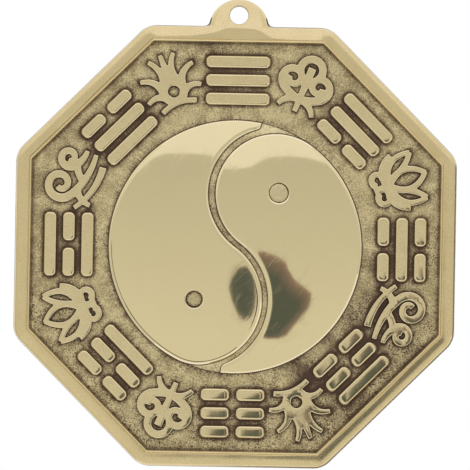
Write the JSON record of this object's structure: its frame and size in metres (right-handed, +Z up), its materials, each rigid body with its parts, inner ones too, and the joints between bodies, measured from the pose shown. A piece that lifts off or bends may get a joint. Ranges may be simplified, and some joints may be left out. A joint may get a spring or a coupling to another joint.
{
  "type": "bagua mirror",
  "caption": "Octagonal brass wall plaque with a domed yin-yang mirror, raised trigram bars, corner ornaments and a lug to hang it by.",
  "frame": {"origin": "axis of the hanging hole in the plane of the wall that the rim's back lies on", "axes": "+Z up, -Y out of the wall towards the viewer (the mirror's face), +X to the viewer's right"},
  "size_m": [0.15, 0.0115, 0.1592],
  "materials": {
    "rim_brass": "polished, slightly dulled on the outer wall",
    "aged_brass": "sand-cast grain with dark patina in the recesses",
    "relief_brass": "raised tops polished, patina at the foot",
    "mirror_brass": "mirror polished",
    "eye_brass": "matte, sand-cast"
  },
  "bodies": {
    "root": {"cloud_ornament_bottom_left": "relief_brass", "cloud_ornament_top_right": "relief_brass", "drifting_cloud_ornament_left_upper": "relief_brass", "drifting_cloud_ornament_right_lower": "relief_brass", "earth_bar_inner_left": "relief_brass", "earth_bar_inner_right": "relief_brass", "earth_bar_middle_left": "relief_brass", "earth_bar_middle_right": "relief_brass", "earth_bar_outer_left": "relief_brass", "earth_bar_outer_right": "relief_brass", "fire_bar_inner": "relief_brass", "fire_bar_middle_left": "relief_brass", "fire_bar_middle_right": "relief_brass", "fire_bar_outer": "relief_brass", "flaming_pearl_ornament_bottom_right": "relief_brass", "flaming_pearl_ornament_top_left": "relief_brass", "ground_plate": "aged_brass", "hanging_lug": "rim_brass", "heaven_bar_inner": "relief_brass", "heaven_bar_middle": "relief_brass", "heaven_bar_outer": "relief_brass", "lake_bar_inner": "relief_brass", "lake_bar_middle": "relief_brass", "lake_bar_outer_left": "relief_brass", "lake_bar_outer_right": "relief_brass", "lotus_ornament_left_lower": "relief_brass", "lotus_ornament_right_upper": "relief_brass", "mountain_bar_inner_left": "relief_brass", "mountain_bar_inner_right": "relief_brass", "mountain_bar_middle_left": "relief_brass", "mountain_bar_middle_right": "relief_brass", "mountain_bar_outer": "relief_brass", "rim_frame": "rim_brass", "thunder_bar_inner": "relief_brass", "thunder_bar_middle_left": "relief_brass", "thunder_bar_middle_right": "relief_brass", "thunder_bar_outer_left": "relief_brass", "thunder_bar_outer_right": "relief_brass", "water_bar_inner_left": "relief_brass", "water_bar_inner_right": "relief_brass", "water_bar_middle": "relief_brass", "water_bar_outer_left": "relief_brass", "water_bar_outer_right": "relief_brass", "wind_bar_inner_left": "relief_brass", "wind_bar_inner_right": "relief_brass", "wind_bar_middle": "relief_brass", "wind_bar_outer": "relief_brass", "yang_eye_plug": "eye_brass", "yang_mirror_half": "mirror_brass", "yin_eye_plug": "eye_brass", "yin_mirror_half": "mirror_brass"}
  },
  "joints": []
}
